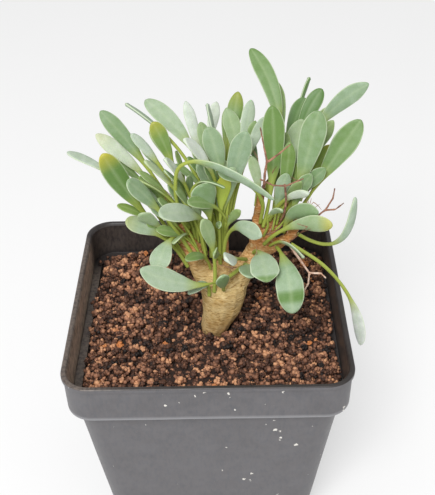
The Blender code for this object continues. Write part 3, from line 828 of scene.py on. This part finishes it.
def make_pot_finish():
    """Moulded black polypropylene: satin, painted grey outside as the reflection of the bright floor, nearly
    black inside under a film of dust, with a painted highlight along the band's lower edge and groups of pale
    specks that are largest on the right."""
    material, tree, where, values = new_finish("moulded_polypropylene", ["dust", "within", "band_edge_highlight"])
    dust, within, band_edge_highlight = values
    scuff = add_node(tree, "TexNoise", {
        "Vector": where, "Scale": 1 / SCUFF, "Detail": 6.0, "Roughness": 0.65})
    upright = add_node(tree, "Mapping", {"Vector": where, "Scale": (1.0, 1.0, 0.4)})
    streak = add_node(tree, "TexNoise", {
        "Vector": upright, "Scale": 1 / STREAK, "Detail": 5.0, "Roughness": 0.7})
    broken = add_node(tree, "MapRange", {0: streak, 1: 0.33, 2: 0.56, 3: 0.1, 4: 1.0})
    film = add_node(tree, "Math", {0: broken, 1: dust}, operation="MULTIPLY")
    speck = add_node(tree, "Math", {0: specks(tree, where), 1: within}, operation="SUBTRACT", use_clamp=True)
    # painted reflection: the grey outside stands for the bright floor reflected in black plastic; inside and
    # on the lip's top it stays nearly black
    inner = layered(tree, "#221F20", [(scuff, 0.35, 0.7, 0, 1, "#302C2D")])
    tone = layered(tree, "#515155", [
        (scuff, 0.35, 0.7, 0, 1, "#5D5D61"), (within, 0, 1, 0, 1, inner), (film, 0, 1, 0, 1, "#BCA898"),
        (band_edge_highlight, 0, 1, 0, 1, "#A9A9AC"), (speck, 0, 1, 0, 1, "#D8D4CC")])
    rough = add_node(tree, "MapRange", {0: scuff, 1: 0.3, 2: 0.7, 3: 0.36, 4: 0.52})
    bump = add_node(tree, "Bump", {"Height": streak, "Strength": 0.15, "Distance": STREAK_RELIEF})
    skin = add_node(tree, "BsdfPrincipled", {
        "Base Color": tone, "Roughness": rough, "Normal": bump, "IOR": 1.49})
    add_node(tree, "OutputMaterial", {"Surface": skin})
    return material


def specks(tree, where):
    """One inside a speck and nothing elsewhere. A cell of a Voronoi pattern holds a speck where its distance
    is under a reach: the group's, times a share for the place from left to right, times the cell's own."""
    ragged = add_node(tree, "TexNoise", {"Vector": where, "Scale": 1 / RAGGED_GRAIN, "Detail": 2.0}, "Color")
    shifted = add_node(tree, "VectorMath", {0: ragged, 1: (RAGGED,) * 3, 2: where}, operation="MULTIPLY_ADD")
    away = add_node(tree, "TexVoronoi", {
        "Vector": shifted, "Scale": 1 / SPECK_SPACING, "Randomness": 1.0}, "Distance")
    own = add_node(tree, "SeparateXYZ", {0: away.node.outputs["Color"]}, "X")
    group = add_node(tree, "TexNoise", {"Vector": where, "Scale": 1 / SPECK_GROUP, "Detail": 1.0})
    right = add_node(tree, "SeparateXYZ", {0: where}, "X")
    reach = add_node(tree, "MapRange", {0: group, 1: 0.5, 2: 0.64, 4: SPECK_REACH})
    for value, low, high, least in ((right, SPECKED_FROM, SPECKED_TO, 0.35), (own, 0.35, 0.95, 0.0)):
        share = add_node(tree, "MapRange", {0: value, 1: low, 2: high, 3: least})
        reach = add_node(tree, "Math", {0: reach, 1: share}, operation="MULTIPLY")
    return add_node(tree, "Math", {0: away, 1: reach}, operation="LESS_THAN")


POT_FINISH = make_pot_finish()
ARC_STEPS = 14
SIDE_STEPS = 24
RING_GAP = 1.2 * MM
WALL_WAVE = 0.12 * MM  # how far the thin wall bows out of true
WALL_BAY = 18 * MM  # the size of such a bow
FLAT_FOOT = 3 * MM  # nothing below this level bows
LEFT_WALL = 36 * MM  # dust is thickest past this on the left, and stops at the same distance back
DUST_FADE = 8 * MM
LIP_DEPTH = 0.4 * MM  # the lip's top is as dark as the inside
RINSED = 2 * MM  # how far above the ledge, and below the lip, the dust thins out
EDGE_HIGHLIGHT_WIDTH = 0.45 * MM  # width of the painted highlight along the band's lower edge
BAND_LEVEL = outside[sharpest_step(outside), 2]  # where the wide band steps out
print("the band starts at", BAND_LEVEL)


# %% Building the pot
def make_pot():
    """Each row of the section becomes a ring: centre * (half - radius) + way * radius at its height. The thin
    walls bow by slow noise. Dust lies thick inside on the left, thin elsewhere inside, and hardly outside."""
    rows = np.concatenate([simple_section(outside), simple_section(inside)])
    rows[0, 2] = pot_levels[0]
    section = rounded_section(rows, POT_ROUNDING)
    stretches = [section[:1]]
    for low, high in zip(section, section[1:]):
        steps = max(1, int(np.linalg.norm(high - low) / RING_GAP))
        stretches.append(low + (high - low) * np.arange(1, steps + 1)[:, None] / steps)
    section = np.concatenate(stretches)
    centres, ways = square_pattern(ARC_STEPS, SIDE_STEPS)
    half, radius, height = section.T
    flat = centres * (half - radius)[:, None, None] + ways * radius[:, None, None]
    rings = np.concatenate([flat, np.broadcast_to(height[:, None, None], (*flat.shape[:2], 1))], axis=2)
    count = len(centres)
    places = rings.reshape(-1, 3)
    wave = noise(places, WALL_BAY, 11) * WALL_WAVE * np.repeat(height > FLAT_FOOT, count)
    places = places + np.tile(np.column_stack([ways, np.zeros(count)]), (len(section), 1)) * wave[:, None]
    turned = int(np.argmax(section[:, 2] + section[:, 0] * 1e-3))
    within = np.repeat((np.arange(len(section)) >= turned - 1) | (height > POT_TOP - LIP_DEPTH), count)
    leftward = np.clip(-places[:, 0] / LEFT_WALL, 0, 1) ** 6
    leftward = leftward * np.clip((LEFT_WALL - places[:, 1]) / DUST_FADE, 0, 1)
    ledge_level = inside[sharpest_step(inside), 2]
    lying = np.clip((places[:, 2] - ledge_level) / RINSED, 0.3, 1)  # water rinses the ledge
    lip = np.clip((POT_TOP - places[:, 2]) / RINSED, 0.25, 1)  # and hands wipe the lip
    dust = np.where(within, (0.10 + 0.9 * leftward) * lying * lip, 0.05)
    outer = np.repeat(np.arange(len(section)) < turned, count)
    # painted highlight: a pale line along the band's rounded lower edge, where it would catch the floor's
    # light
    band_edge_highlight = outer * 0.55 * np.exp(-((places[:, 2] - BAND_LEVEL - 0.3 * MM) / EDGE_HIGHLIGHT_WIDTH) ** 2)
    places = np.concatenate([places, [[0, 0, section[0, 2]], [0, 0, section[-1, 2]]]])
    values = {"dust": np.append(dust, [0.1, 0.9]), "within": np.append(within, [0.0, 1.0]),
              "band_edge_highlight": np.append(band_edge_highlight, [0.0, 0.0])}
    faces = capped_faces(len(section), count)
    return add_piece("nursery_pot", places, faces, POT_FINISH, ["pot"], values)


DRAIN_SIDES = 48
DRAIN_DEPTH = 8 * MM  # more than the floor's thickness


def drain_circles():
    """The middle and radius of each hole in the CAD pot's floor, from the corners on its underside that lie
    neither on the outline nor in the middle, sorted by the quarter that they lie in."""
    under = merged("pot")[0]
    under = under[under[:, 2] < pot_levels[0] + NEAR][:, :2]
    away = np.abs(under).max(axis=1)
    ring = under[(away > NEAR) & (away < 0.9 * away.max())]
    found = []
    for signs in ((1, 1), (1, -1), (-1, 1), (-1, -1)):
        own = ring[(ring * signs > 0).all(axis=1)]
        middle = (own.max(axis=0) + own.min(axis=0)) / 2
        found.append((middle, np.linalg.norm(own - middle, axis=1).max()))
    return found


def cut_drains(piece):
    """Cuts a round hole through the floor for each drain, and keeps the cut mesh."""
    cutters = []
    for middle, radius in drain_circles():
        mesh = bmesh.new()
        bmesh.ops.create_cone(mesh, cap_ends=True, segments=DRAIN_SIDES, radius1=radius, radius2=radius,
                              depth=DRAIN_DEPTH)
        bmesh.ops.translate(mesh, verts=mesh.verts, vec=(*middle, 1 * MM))
        data = bpy.data.meshes.new("drain_cutter")
        mesh.to_mesh(data)
        mesh.free()
        cutter = bpy.data.objects.new("drain_cutter", data)
        bpy.context.scene.collection.objects.link(cutter)
        step = piece.modifiers.new("drain", "BOOLEAN")
        step.solver = "EXACT"
        step.object = cutter
        cutters.append(cutter)
    graph = bpy.context.evaluated_depsgraph_get()
    cut = bpy.data.meshes.new_from_object(piece.evaluated_get(graph), depsgraph=graph)
    piece.modifiers.clear()
    piece.data = cut
    for cutter in cutters:
        bpy.data.objects.remove(cutter, do_unlink=True)


pot = make_pot()
cut_drains(pot)
print("pot faces:", len(pot.data.polygons), "drain holes:", len(drain_circles()))

# %% [markdown]
# ## The granules
# The bed is fired red-brown clay sold as granules of two to three millimetres. Each is a crumb of smaller
# lumps stuck together, like a raspberry. So each is made as one: a core with about eight small lumps around
# its upper side. They are laid on the CAD bed in layers, on a jittered grid that gives every granule its own
# place, so that few overlap and none line up. A lump has only 20 faces, because there are thousands, and
# the bed is split into strips so that no piece is too heavy.

# %% Granule finish
CRUMB = 0.30 * MM
CRUMB_RELIEF = 0.2 * MM
FINE_CLAY = 0.8 * MM
CLAY_RELIEF = 0.6 * MM
FIRED_STOPS = [(0.0, "#1D1411"), (0.15, "#352118"), (0.45, "#5A3A2A"), (0.75, "#A07055"), (0.93, "#D09A72"),
               (1.0, "#C67A40")]


def make_grit_finish():
    """Fired clay: matt, crumbly, red-brown with the odd orange or nearly black granule."""
    material, tree, where, (tone,) = new_finish("fired_clay_granules", ["tone"])
    crumb = add_node(tree, "TexNoise", {"Vector": where, "Scale": 1 / CRUMB, "Detail": 4.0, "Roughness": 0.7})
    fired = add_node(tree, "ValToRGB", {"Fac": tone})
    set_stops(fired, FIRED_STOPS)
    speckle = add_node(tree, "MapRange", {0: crumb, 1: 0.3, 2: 0.7, 3: 0.7, 4: 1.3})
    speckled = add_node(tree, "Mix", {0: 1.0, 6: fired, 7: speckle}, 2, data_type="RGBA",
                        blend_type="MULTIPLY")
    bump = add_node(tree, "Bump", {"Height": crumb, "Strength": 0.7, "Distance": CRUMB_RELIEF})
    skin = add_node(tree, "BsdfPrincipled", {
        "Base Color": speckled, "Roughness": 0.62, "Normal": bump, "IOR": 1.5, "Specular IOR Level": 0.45})
    add_node(tree, "OutputMaterial", {"Surface": skin})
    return material


def make_shade_finish():
    """The fine clay that shows in the gaps between granules, painted nearly black as the shade in those gaps.
    """
    material, tree, where, _ = new_finish("clay_bed_painted_shade")
    crumb = add_node(tree, "TexNoise", {"Vector": where, "Scale": 1 / FINE_CLAY, "Detail": 5.0})
    # painted shade: the bed's near black tone stands for the shade between the granules
    tone = layered(tree, "#1A100C", [(crumb, 0.35, 0.65, 0, 1, "#38241A")])
    bump = add_node(tree, "Bump", {"Height": crumb, "Strength": 1.0, "Distance": CLAY_RELIEF})
    skin = add_node(tree, "BsdfPrincipled", {
        "Base Color": tone, "Roughness": 0.9, "Normal": bump, "IOR": 1.5})
    add_node(tree, "OutputMaterial", {"Surface": skin})
    return material


GRIT_FINISH = make_grit_finish()


# %% The surface of the bed
BED_RELIEF = 5 * MM  # the bed's top is no more uneven than this
SOFTENING = 0.5 * MM  # keeps a spot's weight finite right over a corner


def bed_height(spots):
    """The CAD bed's height at each spot: its top corners' heights, weighted by one over distance to the
    fourth power."""
    places = merged("soil")[0]
    top = places[places[:, 2] > places[:, 2].max() - BED_RELIEF]
    gap = ((spots[:, None] - top[None, :, :2]) ** 2).sum(axis=-1) + SOFTENING ** 2
    weight = 1 / gap ** 2
    return (weight * top[:, 2]).sum(axis=1) / weight.sum(axis=1)


# %% Scattering granules
SPACING = 2.12 * MM
JITTER = 0.4  # how far a granule strays from its place on the grid, as a share of the spacing
LAYERS = ((-0.9 * MM, 0.0, 1.0), (0.3 * MM, 0.5, 0.97), (1.5 * MM, 0.25, 0.4))  # height, shift, share kept
GRAIN_RADIUS = 1.28  # in millimetres, as are the smallest and the largest
GRAIN_LEAST, GRAIN_MOST = 0.75, 1.8
LEDGE_SWEPT = 0.93  # share of the granules that the bare ledge has lost
BED_CORNER = 8 * MM  # radius of the bed's corners
UNEVEN = 1.0 * MM
UNEVEN_BAY = 9 * MM
MOUND = 2.6 * MM  # the granules are heaped against the trunk's right side
MOUND_AT = (8 * MM, -1 * MM)  # the heap's middle, from the trunk's
MOUND_WIDTH = 9 * MM
SOIL_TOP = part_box("soil")[1][2]
ledge_row = sharpest_step(inside)
wall_inside, below_ledge = inside[ledge_row, 0], inside[ledge_row + 1, 0]
print("half widths inside, above and below the ledge:", wall_inside, below_ledge)
collar = bark_places[np.abs(bark_places[:, 2] - SOIL_TOP) < 3 * MM].mean(axis=0)[:2]


def scatter(rng):
    """Granule centres and sizes over the bed. On the left and at the back the ledge is nearly bare; at the
    front and on the right granules have rolled on to it."""
    reach = np.arange(-wall_inside, wall_inside, SPACING)
    spots, rise, kept = [], [], []
    for height, shift, share in LAYERS:
        right, back = np.meshgrid(reach, reach)
        spot = np.column_stack([right.ravel(), back.ravel()]) + shift * SPACING
        spot += rng.uniform(-JITTER, JITTER, spot.shape) * SPACING
        spots.append(spot)
        rise.append(np.full(len(spot), height))
        kept.append(rng.uniform(size=len(spot)) < share)
    spots, rise, kept = np.concatenate(spots), np.concatenate(rise), np.concatenate(kept)
    size = np.clip(rng.lognormal(math.log(GRAIN_RADIUS), 0.2, len(spots)), GRAIN_LEAST, GRAIN_MOST) * MM
    kept &= np.abs(spots).max(axis=1) < wall_inside - size
    corner = np.hypot(*np.clip(np.abs(spots) - (wall_inside - BED_CORNER), 0, None).T)
    kept &= corner < BED_CORNER - 0.8 * size
    ledge = np.abs(spots).max(axis=1) > below_ledge - 0.8 * size
    bare = (spots[:, 0] < -below_ledge + size) | (spots[:, 1] > below_ledge - size)
    kept &= ~(ledge & bare & (rng.uniform(size=len(spots)) < LEDGE_SWEPT))
    kept &= ~(ledge & (rise > 0.5 * MM))
    level = np.column_stack([spots, np.zeros(len(spots))])
    height = bed_height(spots) + rise + UNEVEN * noise(level, UNEVEN_BAY, 14)
    height = np.where(ledge, np.maximum(height, SOIL_TOP - 1.0 * MM), height)
    heap = ((spots - collar - MOUND_AT) ** 2).sum(axis=1) / MOUND_WIDTH ** 2
    height = height + MOUND * np.exp(-heap)
    return np.column_stack([spots, height])[kept], size[kept]


rng = np.random.default_rng(7)
grain_places, grain_sizes = scatter(rng)
away = np.array([BARK_TREE.find_nearest(Vector(place))[3] for place in grain_places])
clear = away > 0.5 * grain_sizes
grain_places, grain_sizes = grain_places[clear], grain_sizes[clear]
print("granules:", len(grain_places))

# %% Building the granules
LUMPS = 9
CORE = 0.66  # the core's radius and the lumps' distance from its middle, as shares of the granule's radius
LUMP_LEAST, LUMP_MOST = 0.33, 0.54
DARK_SHARE, ORANGE_SHARE = 0.03, 0.014  # shares of nearly black and of orange granules
PALEST = 0.93  # no other lump is paler than this tone


def unit_ball():
    """Corners and faces of a ball of 20 triangles."""
    mesh = bmesh.new()
    bmesh.ops.create_icosphere(mesh, subdivisions=1, radius=1.0)
    corners = np.array([vertex.co[:] for vertex in mesh.verts])
    faces = np.array([[vertex.index for vertex in face.verts] for face in mesh.faces])
    mesh.free()
    return corners, faces


def lumps_of(places, sizes, rng):
    """Centres, radii and tones of each granule's lumps: lump 0 is the core, and the others sit around it, in
    directions drawn evenly over the upper three quarters of a ball. The upper lumps are painted lighter as a
    highlight and the lower ones painted darker as shade. A nearly black or orange granule is one tone all
    over."""
    count = len(places)
    level = rng.uniform(-0.45, 1, (count, LUMPS))
    turn = (np.arange(LUMPS) * 2.4)[None] + rng.uniform(0, math.tau, (count, 1))
    turn = turn + rng.normal(0, 0.3, (count, LUMPS))
    flat = np.sqrt(1 - level ** 2)
    way = np.stack([flat * np.cos(turn), flat * np.sin(turn), level], axis=-1)
    out = np.full((1, LUMPS), CORE)
    out[0, 0] = 0.0
    radius = rng.uniform(LUMP_LEAST, LUMP_MOST, (count, LUMPS))
    radius[:, 0] = CORE
    centres = places[:, None] + way * (out * sizes[:, None])[..., None]
    tone = np.clip(rng.normal(0.44, 0.2, count), 0.05, 0.88)
    odd = rng.uniform(size=count)
    orange = rng.uniform(0.95, 1.0, count)
    tone = np.where(odd < DARK_SHARE, 0.0, np.where(odd > 1 - ORANGE_SHARE, orange, tone))
    # painted highlight and shade: lumps high on a granule lighter, low ones darker, with a slow drift over
    # the bed
    lit = 0.40 * (level - 0.35) + 0.10 * noise(places, 7 * MM, 15)[:, None]
    plain = ((tone > 0.04) & (tone < 0.9))[:, None]
    varied = np.clip(tone[:, None] + rng.normal(0, 0.09, (count, LUMPS)) + lit, 0, PALEST)
    tones = np.where(plain, varied, tone[:, None])
    return centres.reshape(-1, 3), (radius * sizes[:, None]).reshape(-1), tones.reshape(-1)


def make_grains(name, places, sizes, rng):
    """Each lump is a small ball stretched along three axes and pushed in and out by noise, then sized and
    moved to its place."""
    centres, radii, tones = lumps_of(places, sizes, rng)
    ball, ball_faces = unit_ball()
    count = len(centres)
    own = rng.uniform(0, 50, (count, 1, 3))
    dent = (1 + 0.24 * noise((ball[None] + own).reshape(-1, 3), 0.8, 12)).reshape(count, -1, 1)
    shape = ball[None] * dent * rng.uniform(0.8, 1.15, (count, 1, 3))
    corners = (shape * radii[:, None, None] + centres[:, None]).reshape(-1, 3)
    faces = (ball_faces[None] + (np.arange(count) * len(ball))[:, None, None]).reshape(-1, 3).tolist()
    values = {"tone": np.repeat(tones, len(ball))}
    return add_piece(name, corners, faces, GRIT_FINISH, (), values)


STRIPS = 5
order = np.argsort(grain_places[:, 0])
for number, chosen in enumerate(np.array_split(order, STRIPS), start=1):
    grains = make_grains(f"granules_{number}", grain_places[chosen], grain_sizes[chosen], rng)
print("faces in the last strip:", len(grains.data.polygons))
NODES["soil"].data.materials.clear()
NODES["soil"].data.materials.append(make_shade_finish())

# %% [markdown]
# ## Studio
# The plant stands on a pale seamless floor in soft, even light: a white surround fills every shadow, and a
# softbox high in front, a little to the left, gives the leaves and granules their gentle modelling. The
# camera looks down from the front, and the pot's lower part runs out of its view.

# %% Floor, light and camera
FLOOR_SIZE = 4.0
FLOOR_DROP = 0.2 * MM
FLOOR_GLOW = 0.49
SURROUND = 0.6
SOFTBOX_PLACE, SOFTBOX_TARGET = (-0.18, -0.58, 0.76), (0, 0, 0.08)
SOFTBOX_SIZE, SOFTBOX_POWER = 0.34, 7.0
CAMERA_PLACE = (4.6 * MM, -238.2 * MM, 271.2 * MM)
CAMERA_BEARING, CAMERA_RISE, CAMERA_ROLL = 0.26, 35.83, -1.08  # the rise is how far down it looks
CAMERA_LENS, SENSOR_HEIGHT = 65.7, 36.0


def make_floor():
    """A flat pale sheet just under the pot. It gives off a little light of its own, as a lit sweep of paper
    seems to, so that the pot's shadow on it stays faint."""
    material, tree, _, _ = new_finish("pale_paper")
    paper = add_node(tree, "BsdfPrincipled", {
        "Base Color": "#B4B4B4", "Roughness": 0.95, "Specular IOR Level": 0.1,
        "Emission Color": (1.0, 1.0, 1.0, 1.0), "Emission Strength": FLOOR_GLOW})
    add_node(tree, "OutputMaterial", {"Surface": paper})
    corners = np.array([[-1, -1, 0], [1, -1, 0], [1, 1, 0], [-1, 1, 0]]) * FLOOR_SIZE / 2 - [0, 0, FLOOR_DROP]
    mesh = bpy.data.meshes.new("floor")
    mesh.from_pydata(corners.tolist(), [], [(0, 1, 2, 3)])
    mesh.materials.append(material)
    floor = bpy.data.objects.new("floor", mesh)
    bpy.context.scene.collection.objects.link(floor)


def make_softbox(name, place, target, size, power):
    """A square area light at a place, facing a target."""
    lamp = bpy.data.lights.new(name, "AREA")
    lamp.shape = "SQUARE"
    lamp.size = size
    lamp.energy = power
    box = bpy.data.objects.new(name, lamp)
    box.location = place
    box.rotation_euler = (Vector(target) - Vector(place)).to_track_quat("-Z", "Y").to_euler()
    bpy.context.scene.collection.objects.link(box)


def make_camera(place, bearing, rise, roll, lens):
    """A camera at a place, looking along a bearing from +Y and down by rise, and turned about that view by
    roll. The angles are in degrees."""
    view = bpy.data.cameras.new("camera")
    view.sensor_fit = "VERTICAL"
    view.sensor_height = SENSOR_HEIGHT
    view.lens = lens
    camera = bpy.data.objects.new("camera", view)
    turn = Matrix.Rotation(math.radians(bearing), 4, "Z") @ Matrix.Rotation(math.radians(90 - rise), 4, "X")
    camera.matrix_world = Matrix.Translation(place) @ turn @ Matrix.Rotation(math.radians(roll), 4, "Z")
    bpy.context.scene.collection.objects.link(camera)
    bpy.context.scene.camera = camera


make_floor()
world = bpy.data.worlds.new("white_surround")
world.use_nodes = True
world.node_tree.nodes["Background"].inputs["Color"].default_value = (1.0, 1.0, 1.0, 1.0)
world.node_tree.nodes["Background"].inputs["Strength"].default_value = SURROUND
bpy.context.scene.world = world
make_softbox("softbox", SOFTBOX_PLACE, SOFTBOX_TARGET, SOFTBOX_SIZE, SOFTBOX_POWER)
make_camera(CAMERA_PLACE, CAMERA_BEARING, CAMERA_RISE, CAMERA_ROLL, CAMERA_LENS)
bpy.context.scene.view_settings.view_transform = "Standard"
